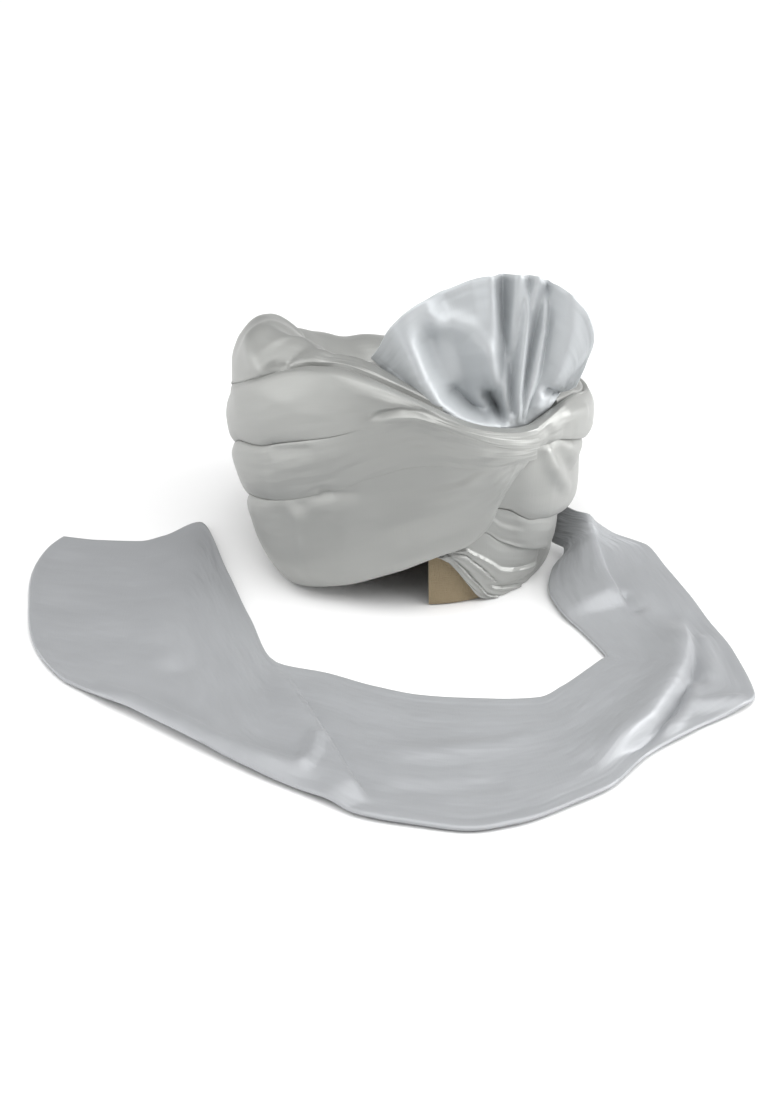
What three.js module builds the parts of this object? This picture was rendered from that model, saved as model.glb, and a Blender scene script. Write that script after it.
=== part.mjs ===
// A tied turban: three padded wraps wound round a lining cap and pinched together at the front right,
// a puffed roll and a gathered crown on top, an upright pleated fan tucked in at the pinch, and a long
// tail that comes out at the right side and lies round the front on the floor.
// Millimetres, +Z up, front facing -Y, standing on z = 0.
import * as THREE from 'three';

// Driving dimensions
const CENTRE_X = 34;              // axis of the wound body, from the middle of the whole part
const CENTRE_Y = 113.5;
const CAP_HALF_WIDTH = 82;        // outside of the lining cap at its rim
const CAP_HALF_DEPTH = 102;
const CAP_SHIFT_Y = -2;
const CAP_STRAIGHT = 40;          // height where its dome begins
const CAP_DOME = 70;
const CAP_WALL = 2;
const CROWN_HEIGHT = 115;
const WAIST = 40;                 // bearing of the pinch, from the front towards the right, degrees
const GAP = 0.7;                  // between the lining cap and the cloth round it
const SEAM = 0.3;                 // half the gap between two wraps at the outside
const INNER_SEAM = 0.9;           // and at the inner wall
const PANEL = 3;                  // the front panel, where it lies over the wraps' own ends
const TURN_STEP = 5;              // degrees between two sections
const FAN_CLOTH = 1.6;
const TAIL_CLOTH = 3;             // two layers

// Outer form of the wound body: height, centre x, half width, half depth
const BODY = [
  [0, 0, 101, 113],
  [25, -4, 112, 118],
  [66, -8, 119, 121],
  [103, -9, 121, 121],
  [130, -10, 118, 119],
  [150, -12, 108, 110],
  [165, -14, 96, 98],
  [185, -14, 80, 80],
];
// How much closer the right side is and how much further the left side, by height
const SIDES = [
  [0, 5, 0],
  [35, 5, 2],
  [67, 6.5, 4],
  [87, 1, 4],
  [104, 2, 1],
  [120, 5, 3],
  [150, 5, 14],
];
// Inner wall of the wraps: height, scale of the lining cap's outline
const WALL = [
  [0, 1],
  [45, 1],
  [80, 0.97],
  [110, 0.88],
  [140, 0.76],
  [170, 0.66],
];
// Lines between the wraps, by turn from the pinch (clockwise from above):
// turn, foot, lower/middle seam, middle/upper seam, top, how far out the lower and the middle wrap are
const LINES = [
  [0, 91, 96.5, 105, 118, -3, -3],
  [4, 87, 97, 106.5, 118.5, -2, -2],
  [8, 81, 98.5, 109, 119.5, -1, -1],
  [11, 74, 99, 111, 121, 0, -1],
  [17, 56, 100, 115.5, 124.5, 0, 0],
  [25, 45, 103, 123, 131, 0, 0],
  [33, 40, 107, 131, 139, 0, 0],
  [40, 34.5, 110, 134, 145, 0, 0],
  [54, 24, 101, 132, 153.5, 0, 0],
  [65, 15, 90, 125, 156.5, 0, 1],
  [76, 9, 80, 116, 155, 0, 1],
  [85, 4, 71, 108, 150, 0, 1],
  [94, 0, 62, 101, 142, 0, 0],
  [111, 0, 46, 85, 125, 0, 0],
  [130, 0, 28, 67, 110, 0, 0],
  [165, 0, 24, 58, 98, 1, 0],
  [220, 0, 26, 58, 94, 1, 2],
  [270, 0, 30, 62, 96, 0, 0],
  [310, 0, 31, 76, 106, -14, -2],
  [323, 0, 34.5, 82, 113.5, -15, -2],
  [333, 0, 37.5, 89, 120, -15, -2],
  [343, 0, 42, 97, 123, -15, -2],
  [350, 0, 45.5, 102.5, 122, -15, -2],
  [360, 0, 51, 105, 118, -15, -3],
];
// The upper wrap's rim: turn, thickness of its lip, depth of the seat behind the lip, and how far the
// seam below climbs on its way in
const RIM = [
  [0, 5, 7, 2],
  [15, 6, 8, -3],
  [25, 6, 8, -8],
  [40, 6, 9, -10],
  [54, 6, 12, -8],
  [65, 6, 12, -2],
  [80, 4, 9, 4],
  [110, 2.5, 5, 5],
  [340, 2.5, 6, 5],
  [360, 5, 7, 2],
];
// The middle wrap's end, running in under the front panel: turn, low, high, out
const MIDDLE_END = [
  [350, 45.5, 102.5, -2],
  [355, 48.5, 98, -3],
  [360, 51, 93, -6],
  [363, 54.5, 92.5, -8.5],
  [368.5, 64, 92, -8.5],
  [375, 69, 91, -8.5],
];
// The lower wrap's end, running on along the lining cap to its pleats inside the front panel:
// turn, low, high, out
const LOWER_END = [
  [320, 0, 33.7, -15],
  [328, 0, 36, -15],
  [334, 0, 27, -15],
  [340, 0, 21, -14],
  [346, 0, 17.5, -12],
  [351, 0, 22, -11],
  [363.5, 0, 32, -10],
  [371, 0, 39, -9],
  [376, 2, 47, -9],
  [383, 12.5, 50, -9],
  [390, 26, 50, -9],
  [395, 34, 49, -9],
  [400, 40, 47, -9],
];
// The smooth fold between the middle wrap's end and the lower wrap's: bearing, low, high, out
const FOLD = [
  [20, 50, 58, -9],
  [24, 47, 63, -9],
  [29, 39, 64, -9],
  [33, 35, 61, -8],
  [36.5, 32, 55, -6],
  [44, 26, 49, -5],
  [50, 22, 46, -5],
  [54, 17.5, 44, -6],
  [60, 21, 42, -8],
  [65, 27, 40, -11],
];
// The roll along the top: turn, summit, half width
const ROLL = [
  [65, 157, 6],
  [70, 158, 8],
  [80, 161, 13],
  [95, 163, 20],
  [115, 162, 24],
  [135, 155, 25],
  [160, 130, 25],
  [190, 110, 23],
  [225, 99, 22],
  [270, 100, 22],
  [310, 112, 20],
  [330, 119, 15],
  [345, 122, 11],
];
// The fan, pleat by pleat from left to right: bearing of its foot, rim x, rim y, rim z
const FAN = [
  [-17, -33, -57, 145],
  [-13, -31, -69, 163],
  [-6, -25, -80, 179],
  [5, -15, -87, 192],
  [15, -4, -83, 198],
  [21, 9, -72, 201],
  [25, 24, -75, 208],
  [27.5, 36, -82, 213],
  [29.5, 45, -74, 211],
  [31, 52, -82, 214],
  [32.5, 58, -77, 212],
  [34, 64, -82, 213],
  [35.5, 70, -75, 208],
  [37, 75, -83, 208],
  [38.5, 87, -86, 201],
  [40.5, 96, -85, 189],
  [43, 100, -81, 173],
  [46, 97, -77, 157],
  [49.5, 91, -77, 139],
];
// The tail from its root to its open end: inner x, y, z, outer x, y, z, arch
const TAIL = [
  [84.7, -29, 17, 89, -15.5, 27, 0],
  [94, -41, 13, 107, -31, 24, 2],
  [92, -48, 8, 127, -39, 14, 8],
  [82, -67, 4, 146, -40, 7, 9],
  [78, -90, 1, 158, -64, 2, 7],
  [83, -116, 0, 168, -97, 1, 4],
  [94, -139, 0, 177, -132, 0, 2],
  [103, -160, 0, 186, -166, 0, 2],
  [107, -172, 0, 191, -214, 0, 2],
  [102, -178, 0, 151, -252, 0, 3],
  [92, -190, 0, 122, -277, 0, 3],
  [78, -206, 0, 96, -310, 0, 2],
  [63, -218, 0, 75, -325, 0, 1],
  [40, -220, 0, 44, -343, 0, 1],
  [16, -219, 0, 18, -349, 0, 1],
  [-6, -216, 0, -10, -344, 0, 1],
  [-34, -206, 0, -39, -336, 0, 1],
  [-62, -191, 0, -61, -321, 0, 1],
  [-93, -179, 0, -94, -299, 0, 1],
  [-112, -125, 0, -115, -283, 0, 2],
  [-132, -59, 0, -136, -266, 0, 2],
  [-155, 8, 0, -158, -248, 0, 2],
  [-177, -12, 0, -175, -234, 0, 2],
  [-193, -21, 0, -190, -223, 0, 2],
  [-220, -19, 0, -203, -212, 0, 1],
  [-246, -13, 0, -217, -200, 0, 0],
];
// Folds raised in the tail: height, half width, then the points of each fold's line
const FOLDS = [
  { height: 14, spread: 13, line: [[106, -30], [104, -60], [108, -90], [121, -120]] },
  { height: 8, spread: 9, line: [[157, -133], [155, -167], [133, -233], [106, -274], [88, -301]] },
  { height: 4, spread: 10, line: [[-93, -185], [-77, -223], [-58, -271], [-35, -327]] },
  { height: 6, spread: 12, line: [[-201, -205], [-163, -231], [-125, -262], [-90, -290], [-56, -310]] },
  { height: 4, spread: 14, line: [[-171, -105], [-141, -155], [-101, -213]] },
];

// Tables and small functions
// Smooth curve through one column of a table, never overshooting its rows
function column(rows, x, index) {
  const last = rows.length - 1;
  const at = Math.min(Math.max(x, rows[0][0]), rows[last][0]);
  const span = (i) => rows[i + 1][0] - rows[i][0];
  const slope = (i) => (rows[i + 1][index] - rows[i][index]) / span(i);
  const tangent = (i) => {
    if (i === 0) return slope(0);
    if (i === last) return slope(last - 1);
    const before = slope(i - 1);
    const after = slope(i);
    if (before * after <= 0) return 0;
    const w1 = 2 * span(i) + span(i - 1);
    const w2 = span(i) + 2 * span(i - 1);
    return (w1 + w2) / (w1 / before + w2 / after);
  };
  let i = 0;
  while (i < last - 1 && rows[i + 1][0] <= at) i += 1;
  const t = (at - rows[i][0]) / span(i);
  return (1 + 2 * t) * (1 - t) ** 2 * rows[i][index]
    + t * (1 - t) ** 2 * span(i) * tangent(i)
    + t * t * (3 - 2 * t) * rows[i + 1][index]
    + t * t * (t - 1) * span(i) * tangent(i + 1);
}

const smooth = (t) => THREE.MathUtils.smoothstep(t, 0, 1);
const mix = THREE.MathUtils.lerp;
const puff = (s) => 1 - Math.abs(2 * s - 1) ** 2.6;
const steps = (from, to, step) => {
  const count = Math.max(1, Math.round((to - from) / step));
  return Array.from({ length: count + 1 }, (_, i) => mix(from, to, i / count));
};

// A point on the outer form of the body; out moves it off that form
function outside(bearing, z, out) {
  const angle = THREE.MathUtils.degToRad(bearing);
  const turned = bearing - 360 * Math.round(bearing / 360);
  const flare = 13 * Math.exp(-(((turned + 52) / 24) ** 2)) * (1 - smooth(z / 60));
  const near = column(SIDES, z, 1) * Math.exp(-(((turned - 92) / 38) ** 2));
  const far = column(SIDES, z, 2) * Math.exp(-(((turned + 100) / 35) ** 2));
  const off = out + flare + far - near;
  return new THREE.Vector3(
    column(BODY, z, 1) + (column(BODY, z, 2) + off) * Math.sin(angle),
    -(column(BODY, z, 3) + off) * Math.cos(angle),
    z,
  );
}

// A point on the outside of the lining cap's outline, scaled, and moved out
function capSide(bearing, z, scale, out) {
  const angle = THREE.MathUtils.degToRad(bearing);
  return new THREE.Vector3(
    (CAP_HALF_WIDTH * scale + out) * Math.sin(angle),
    CAP_SHIFT_Y - (CAP_HALF_DEPTH * scale + out) * Math.cos(angle),
    z,
  );
}
const inside = (bearing, z, out = GAP) => capSide(bearing, z, column(WALL, z, 1), out);

// How far a seam climbs on its way in, so that the upper wrap hangs over the lower
const climbOf = (z) => 5 * smooth(z / 20);

// Solids
// Turns a list of triangles round where their faces point in, and makes the geometry
function closedGeometry(points, triangles) {
  let volume = 0;
  const cross = new THREE.Vector3();
  for (const [a, b, c] of triangles) {
    volume += points[a].dot(cross.crossVectors(points[b], points[c]));
  }
  const index = volume > 0 ? triangles : triangles.map(([a, b, c]) => [a, c, b]);
  const geometry = new THREE.BufferGeometry().setFromPoints(points);
  geometry.setIndex(index.flat());
  geometry.computeVertexNormals();
  return geometry;
}

// Sections of equally many points, joined one to the next; a ring closes on itself, else it is capped
function loft(sections, ring) {
  const points = sections.flat();
  const size = sections[0].length;
  const count = sections.length;
  const triangles = [];
  for (let i = 0; i < (ring ? count : count - 1); i += 1) {
    const next = (i + 1) % count;
    for (let j = 0; j < size; j += 1) {
      const side = (j + 1) % size;
      triangles.push([i * size + j, next * size + j, next * size + side]);
      triangles.push([i * size + j, next * size + side, i * size + side]);
    }
  }
  if (!ring) {
    for (const [section, flip] of [[0, false], [count - 1, true]]) {
      const middle = new THREE.Vector3();
      sections[section].forEach((point) => middle.addScaledVector(point, 1 / size));
      points.push(middle);
      const hub = points.length - 1;
      for (let j = 0; j < size; j += 1) {
        const a = section * size + j;
        const b = section * size + ((j + 1) % size);
        triangles.push(flip ? [hub, b, a] : [hub, a, b]);
      }
    }
  }
  return closedGeometry(points, triangles);
}

// A sheet between a front and a back grid of points, closed along its border
function slab(front, back) {
  const rows = front.length;
  const cols = front[0].length;
  const points = [...front.flat(), ...back.flat()];
  const at = (side, i, j) => side * rows * cols + i * cols + j;
  const triangles = [];
  const quad = (a, b, c, d) => {
    triangles.push([a, b, c]);
    triangles.push([a, c, d]);
  };
  for (let i = 0; i < rows - 1; i += 1) {
    for (let j = 0; j < cols - 1; j += 1) {
      quad(at(0, i, j), at(0, i + 1, j), at(0, i + 1, j + 1), at(0, i, j + 1));
      quad(at(1, i, j), at(1, i, j + 1), at(1, i + 1, j + 1), at(1, i + 1, j));
    }
  }
  for (let i = 0; i < rows - 1; i += 1) {
    quad(at(0, i, 0), at(1, i, 0), at(1, i + 1, 0), at(0, i + 1, 0));
    quad(at(0, i, cols - 1), at(0, i + 1, cols - 1), at(1, i + 1, cols - 1), at(1, i, cols - 1));
  }
  for (let j = 0; j < cols - 1; j += 1) {
    quad(at(0, 0, j), at(0, 0, j + 1), at(1, 0, j + 1), at(1, 0, j));
    quad(at(0, rows - 1, j), at(1, rows - 1, j), at(1, rows - 1, j + 1), at(0, rows - 1, j + 1));
  }
  return closedGeometry(points, triangles);
}

// Offsets every point of a grid along its own normal
function offsetGrid(grid, distance) {
  return grid.map((row, i) => row.map((point, j) => {
    const before = grid[Math.max(i - 1, 0)][j];
    const after = grid[Math.min(i + 1, grid.length - 1)][j];
    const left = row[Math.max(j - 1, 0)];
    const right = row[Math.min(j + 1, row.length - 1)];
    const along = after.clone().sub(before);
    const across = right.clone().sub(left);
    const normal = along.cross(across).normalize();
    return point.clone().addScaledVector(normal, distance);
  }));
}

function piece(name, geometry, colour, roughness) {
  const material = new THREE.MeshStandardMaterial({ color: colour, roughness, metalness: 0 });
  material.name = name;
  const mesh = new THREE.Mesh(geometry, material);
  mesh.name = name;
  return mesh;
}

// Lining cap: a thin dome, open below, its rim cut away at the front left, between two bearings
const NOTCH_FROM = -55;
const NOTCH_TO = 0.5;
const NOTCH_HEIGHT = 34;

function capRow(bearing, rim, thickness) {
  const dome = [0, 0.25, 0.45, 0.62, 0.77, 0.9, 1];
  const row = [rim, mix(rim, CAP_STRAIGHT, 0.5)].map((z) => capSide(bearing, z, 1, -thickness));
  for (const t of dome) {
    const angle = t * Math.PI / 2;
    const top = CAP_STRAIGHT + (CAP_DOME - thickness) * Math.sin(angle);
    const spread = Math.cos(angle);
    const x = (CAP_HALF_WIDTH - thickness) * spread * Math.sin(THREE.MathUtils.degToRad(bearing));
    const y = -(CAP_HALF_DEPTH - thickness) * spread * Math.cos(THREE.MathUtils.degToRad(bearing));
    row.push(new THREE.Vector3(x, CAP_SHIFT_Y + y, top));
  }
  return row;
}

function liningCap() {
  const whole = steps(NOTCH_TO, 360 + NOTCH_FROM, 7.5);
  const cut = steps(360 + NOTCH_FROM + 0.4, 360 + NOTCH_TO - 0.4, 7.5);
  const bearings = [...whole, ...cut];
  const rims = bearings.map((bearing) => (bearing > 360 + NOTCH_FROM + 0.2 ? NOTCH_HEIGHT : 0));
  const outer = bearings.map((bearing, i) => capRow(bearing, rims[i], 0));
  const inner = bearings.map((bearing, i) => capRow(bearing, rims[i], CAP_WALL));
  const rows = outer.length;
  const cols = outer[0].length - 1;                      // the last point of every row is the apex
  const points = [];
  for (const side of [outer, inner]) side.forEach((row) => points.push(...row.slice(0, cols)));
  const apexOut = points.push(outer[0][cols]) - 1;
  const apexIn = points.push(inner[0][cols]) - 1;
  const at = (side, i, j) => side * rows * cols + (i % rows) * cols + j;
  const triangles = [];
  for (let i = 0; i < rows; i += 1) {
    for (let j = 0; j < cols - 1; j += 1) {
      triangles.push([at(0, i, j), at(0, i + 1, j), at(0, i + 1, j + 1)]);
      triangles.push([at(0, i, j), at(0, i + 1, j + 1), at(0, i, j + 1)]);
      triangles.push([at(1, i, j), at(1, i + 1, j + 1), at(1, i + 1, j)]);
      triangles.push([at(1, i, j), at(1, i, j + 1), at(1, i + 1, j + 1)]);
    }
    triangles.push([at(0, i, cols - 1), at(0, i + 1, cols - 1), apexOut]);
    triangles.push([at(1, i, cols - 1), apexIn, at(1, i + 1, cols - 1)]);
    triangles.push([at(0, i, 0), at(1, i + 1, 0), at(0, i + 1, 0)]);
    triangles.push([at(0, i, 0), at(1, i, 0), at(1, i + 1, 0)]);
  }
  return closedGeometry(points, triangles);
}

// Wraps: padded bands with a rounded outside and a straight inside
const PROFILE = [0, 0.07, 0.22, 0.4, 0.6, 0.78, 0.93, 1];
const SKIN = 3.5;                                        // thinnest cloth over the lining cap

// A band's section between two seams, each a height at the outside and its climb to the inner wall;
// thin turns the padded band into a cover of even thickness
function bandSection(bearing, low, high, out, thin = 0) {
  const bottom = low.z + (low.z > 0.5 ? SEAM : 0);
  const top = high.z - SEAM;
  const round = 4 * smooth((top - bottom) / 40);
  const outer = PROFILE.map((s) => {
    const z = mix(bottom, top, s);
    const skin = outside(bearing, z, out + round * (puff(s) - 1));
    const least = inside(bearing, z, GAP + SKIN);
    return Math.hypot(skin.x, skin.y) > Math.hypot(least.x, least.y) ? skin : least;
  });
  for (const [end, seam] of [[0, low], [outer.length - 1, high]]) {
    const form = outside(bearing, seam.z, 0);
    const wall = inside(bearing, seam.z + seam.climb);
    const depth = Math.hypot(form.x, form.y) - Math.hypot(outer[end].x, outer[end].y);
    const full = Math.hypot(form.x, form.y) - Math.hypot(wall.x, wall.y);
    outer.forEach((point, i) => {
      point.z += seam.climb * depth / full * (1 - Math.abs(PROFILE[i] - PROFILE[end])) ** 2;
    });
  }
  const innerTop = high.z + high.climb - INNER_SEAM;
  const innerBottom = low.z + low.climb + (low.z > 0.5 ? INNER_SEAM : 0);
  const backs = [[innerTop, outer.length - 1], [(innerTop + innerBottom) / 2, 4], [innerBottom, 0]];
  return [...outer, ...backs.map(([z, i]) => {
    const cover = outer[i].clone();
    const shrink = 1 - PANEL / Math.hypot(cover.x, cover.y);
    cover.x *= shrink;
    cover.y *= shrink;
    return inside(bearing, z).lerp(cover, thin);
  })];
}

const lowerSeam = (z) => ({ z, climb: climbOf(z) });
const upperSeam = (z, turn) => ({ z, climb: column(RIM, Math.min(turn, 360), 3) });

function middleRow(turn) {
  if (turn > 350) return [1, 2, 3].map((i) => column(MIDDLE_END, turn, i));
  return [column(LINES, turn, 2), column(LINES, turn, 3), column(LINES, turn, 6)];
}

function foldRow(bearing) {
  const [low, high, out] = [1, 2, 3].map((i) => column(FOLD, bearing, i));
  return [low, Math.min(high, middleRow(WAIST - bearing + 360)[0]), out];
}

function lowerRow(turn) {
  if (turn <= 320) return [column(LINES, turn, 1), column(LINES, turn, 2), column(LINES, turn, 5)];
  const [low, high, out] = [1, 2, 3].map((i) => column(LOWER_END, turn, i));
  const bearing = WAIST - turn + 360;
  const underFold = bearing >= FOLD[0][0] && bearing <= FOLD[FOLD.length - 1][0];
  const ceiling = underFold ? foldRow(bearing)[0] - SEAM : high;
  return [low, Math.min(high, ceiling, turn <= 350 ? column(LINES, turn, 2) : high), out];
}

function lowerWrap() {
  const sections = steps(0, 400, TURN_STEP).map((turn) => {
    const [low, high, out] = lowerRow(turn);
    const thin = 1 - smooth((turn - 44) / 12);
    return bandSection(WAIST - turn, lowerSeam(low), lowerSeam(high), out, thin);
  });
  return loft(sections, false);
}

function middleWrap() {
  const sections = steps(0, 375, TURN_STEP).map((turn) => {
    const [low, high, out] = middleRow(turn);
    return bandSection(WAIST - turn, lowerSeam(low), upperSeam(high, turn), out);
  });
  return loft(sections, false);
}

function rightFold() {
  const sections = steps(FOLD[0][0], FOLD[FOLD.length - 1][0], TURN_STEP).map((bearing) => {
    const [low, high, out] = foldRow(bearing);
    return bandSection(bearing, lowerSeam(low), lowerSeam(high), out);
  });
  return loft(sections, false);
}

// The upper wrap ends in a lip, with a seat behind it for the roll, the crown and the fan's foot
function lip(turn) {
  const top = column(LINES, turn, 4);
  return { top, edge: -4 - column(RIM, turn, 1), seat: top - column(RIM, turn, 2) };
}

function upperWrap() {
  const sections = steps(0, 360, TURN_STEP).slice(0, -1).map((turn) => {
    const bearing = WAIST - turn;
    const low = upperSeam(column(LINES, turn, 3), turn);
    const { top, edge, seat } = lip(turn);
    const band = bandSection(bearing, low, { z: top + SEAM, climb: 0 }, 0);
    return [
      ...band.slice(0, PROFILE.length),
      outside(bearing, top - 2, edge),
      outside(bearing, seat, edge - 1),
      inside(bearing, seat - 2),
      band[band.length - 1],
    ];
  });
  return loft(sections, true);
}

// Roll along the top, seated behind the upper wrap's lip
function topRoll() {
  const sections = steps(ROLL[0][0], ROLL[ROLL.length - 1][0], TURN_STEP).map((turn) => {
    const bearing = WAIST - turn;
    const { top, edge, seat } = lip(turn);
    const half = column(ROLL, turn, 2);
    const summit = Math.max(column(ROLL, turn, 1), top + 3);
    const shoulder = top + 1;
    const overhang = edge + 3 * smooth((summit - top) / 20) - 0.6;
    const arch = [0, 0.25, 0.5, 0.75, 1, 1.25, 1.5].map((t) => {
      const angle = t * Math.PI / 2;
      const reach = t < 1 ? summit - shoulder : Math.min(summit - seat - 3, 20);
      const z = summit - reach * (1 - Math.sin(angle));
      const level = Math.min(z, Math.max(shoulder, 130));
      return outside(bearing, level, overhang - half * (1 - Math.cos(angle))).setZ(z);
    });
    const lift = new THREE.Vector3(0, 0, 0.6);
    const heel = outside(bearing, seat, edge - 1.6).add(lift);
    const toe = inside(bearing, seat - 2, 1.5).lerp(heel, 0.1).add(lift);
    return [heel, outside(bearing, top - 2, edge - 0.6), ...arch, toe];
  });
  return loft(sections, false);
}

// Crown: gathered cloth over the lining cap's dome, inside the wraps
function crownCover() {
  const rings = [0, 0.3, 0.55, 0.78, 0.92, 1];
  const bearings = steps(0, 360, 10).slice(0, -1);
  const domeHeight = (scale) => CAP_STRAIGHT + CAP_DOME * Math.sqrt(Math.max(0, 1 - scale * scale)) + 2.3;
  const top = bearings.map((bearing) => {
    const turn = (WAIST - bearing + 360) % 360;
    const edge = lip(turn).seat - 2.5;
    const reach = column(WALL, edge, 1) * 0.99;
    return rings.slice(1).map((r) => capSide(bearing, mix(CROWN_HEIGHT, edge, r * r), reach * r, 0));
  });
  const bottom = bearings.map((bearing) => (
    rings.slice(1).map((r) => capSide(bearing, domeHeight(r * 0.972), r * 0.972, 0))
  ));
  const size = rings.length - 1;
  const count = bearings.length;
  const points = [...top.flat(), ...bottom.flat()];
  const hubTop = points.push(new THREE.Vector3(0, CAP_SHIFT_Y, CROWN_HEIGHT)) - 1;
  const hubBottom = points.push(new THREE.Vector3(0, CAP_SHIFT_Y, domeHeight(0))) - 1;
  const at = (side, i, j) => side * count * size + (i % count) * size + j;
  const triangles = [];
  for (let i = 0; i < count; i += 1) {
    triangles.push([hubTop, at(0, i, 0), at(0, i + 1, 0)]);
    triangles.push([hubBottom, at(1, i + 1, 0), at(1, i, 0)]);
    for (let j = 0; j < size - 1; j += 1) {
      triangles.push([at(0, i, j), at(0, i, j + 1), at(0, i + 1, j + 1)]);
      triangles.push([at(0, i, j), at(0, i + 1, j + 1), at(0, i + 1, j)]);
      triangles.push([at(1, i, j), at(1, i + 1, j + 1), at(1, i, j + 1)]);
      triangles.push([at(1, i, j), at(1, i + 1, j), at(1, i + 1, j + 1)]);
    }
    triangles.push([at(0, i, size - 1), at(1, i, size - 1), at(1, i + 1, size - 1)]);
    triangles.push([at(0, i, size - 1), at(1, i + 1, size - 1), at(0, i + 1, size - 1)]);
  }
  return closedGeometry(points, triangles);
}

// Fan: a pleated sheet whose foot is tucked behind the upper wrap's lip
function fan() {
  const table = FAN.map((row, i) => [i, ...row]);
  const grid = steps(0, FAN.length - 1, 1 / 3).map((t) => {
    const bearing = column(table, t, 1);
    const { top, edge } = lip((WAIST - bearing + 360) % 360);
    const foot = outside(bearing, top - 3, edge - 3.5);
    const rim = new THREE.Vector3(column(table, t, 2), column(table, t, 3), column(table, t, 4));
    return steps(0, 1, 1 / 7).map((q) => foot.clone().lerp(rim, q));
  });
  return slab(offsetGrid(grid, FAN_CLOTH / 2), offsetGrid(grid, -FAN_CLOTH / 2));
}

// Tail: a folded strip on the floor, with its raised folds
function foldHeight(x, y) {
  const here = new THREE.Vector2(x, y);
  let height = 0;
  for (const { height: rise, spread, line } of FOLDS) {
    let nearest = Infinity;
    let along = 0;
    for (let i = 0; i < line.length - 1; i += 1) {
      const start = new THREE.Vector2(...line[i]);
      const run = new THREE.Vector2(...line[i + 1]).sub(start);
      const t = THREE.MathUtils.clamp(here.clone().sub(start).dot(run) / run.lengthSq(), 0, 1);
      const distance = start.addScaledVector(run, t).distanceTo(here);
      if (distance < nearest) {
        nearest = distance;
        along = (i + t) / (line.length - 1);
      }
    }
    height += rise * Math.exp(-((nearest / spread) ** 2)) * smooth(along * 5) * smooth((1 - along) * 5);
  }
  return height;
}

function tail() {
  const table = TAIL.map((row, i) => [i, ...row]);
  const over = steps(0, TAIL.length - 1, 0.5).map((t) => {
    const [ix, iy, iz, ox, oy, oz, arch] = [1, 2, 3, 4, 5, 6, 7].map((i) => column(table, t, i));
    return steps(0, 1, 1 / 7).map((v) => {
      const bow = 23 * smooth((t - 22) / 3) * (1 - Math.abs(2 * v - 1) ** 3);
      const x = mix(ix, ox, v) - bow;
      const y = mix(iy, oy, v);
      const z = mix(iz, oz, v) + arch * 4 * v * (1 - v) + foldHeight(x, y);
      return new THREE.Vector3(x, y, z + TAIL_CLOTH);
    });
  });
  const under = over.map((row) => row.map((point) => point.clone().setZ(point.z - TAIL_CLOTH)));
  return slab(over, under);
}

// Assembly
const SATIN = 0xb4b4b0;
const turban = new THREE.Group();
turban.position.set(CENTRE_X, CENTRE_Y, 0);
turban.add(
  piece('lining_cap', liningCap(), 0xb39a72, 0.8),
  piece('crown_cover', crownCover(), 0xa2a29e, 0.45),
  piece('top_roll', topRoll(), SATIN, 0.4),
  piece('wrap_upper', upperWrap(), SATIN, 0.4),
  piece('wrap_middle', middleWrap(), SATIN, 0.4),
  piece('wrap_lower', lowerWrap(), SATIN, 0.4),
  piece('right_fold', rightFold(), 0xbcbcb8, 0.4),
  piece('fan', fan(), 0xd0d3d6, 0.35),
  piece('tail', tail(), 0xafb2b6, 0.4),
);

export default turban;
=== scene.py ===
import bpy
import numpy as np
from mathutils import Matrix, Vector


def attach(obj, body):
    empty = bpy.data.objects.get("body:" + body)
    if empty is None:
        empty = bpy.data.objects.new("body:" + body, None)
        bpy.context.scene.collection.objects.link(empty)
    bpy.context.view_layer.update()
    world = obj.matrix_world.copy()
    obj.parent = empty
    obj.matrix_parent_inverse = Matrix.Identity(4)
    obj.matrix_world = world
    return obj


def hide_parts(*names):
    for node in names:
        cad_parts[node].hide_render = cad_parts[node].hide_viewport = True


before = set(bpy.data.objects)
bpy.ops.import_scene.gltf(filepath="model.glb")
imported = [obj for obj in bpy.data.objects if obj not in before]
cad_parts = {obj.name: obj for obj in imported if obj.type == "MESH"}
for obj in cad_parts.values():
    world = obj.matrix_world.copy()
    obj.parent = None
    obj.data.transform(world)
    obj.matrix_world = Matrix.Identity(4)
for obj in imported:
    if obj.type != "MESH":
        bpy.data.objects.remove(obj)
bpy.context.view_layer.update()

# Lining cap
# A stiffened dome of golden tan cotton that sits on the head and carries the wound cloth. It is two layers
# glued together, 2 mm in all, and its rim is cut away at the front left, under the front panel.
AXIS = (34.0, 113.5)
CAP_HALF_WIDTH, CAP_HALF_DEPTH, CAP_SHIFT = 82.0, 102.0, -2.0
CAP_STRAIGHT, CAP_DOME, CAP_WALL = 40.0, 70.0, 2.0
NOTCH_FROM, NOTCH_TO, NOTCH_HEIGHT = -55.0, 0.5, 34.0


def placed(x, y, z):
    """Points in the part's frame, in metres, from millimetres about the turban's own axis."""
    x, y, z = np.broadcast_arrays(x, y, z)
    return np.stack([x + AXIS[0], y + AXIS[1], z], axis=-1) / 1000


def smooth(t):
    t = np.clip(t, 0.0, 1.0)
    return t * t * (3 - 2 * t)


def mix(a, b, t):
    return a + (b - a) * t


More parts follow.
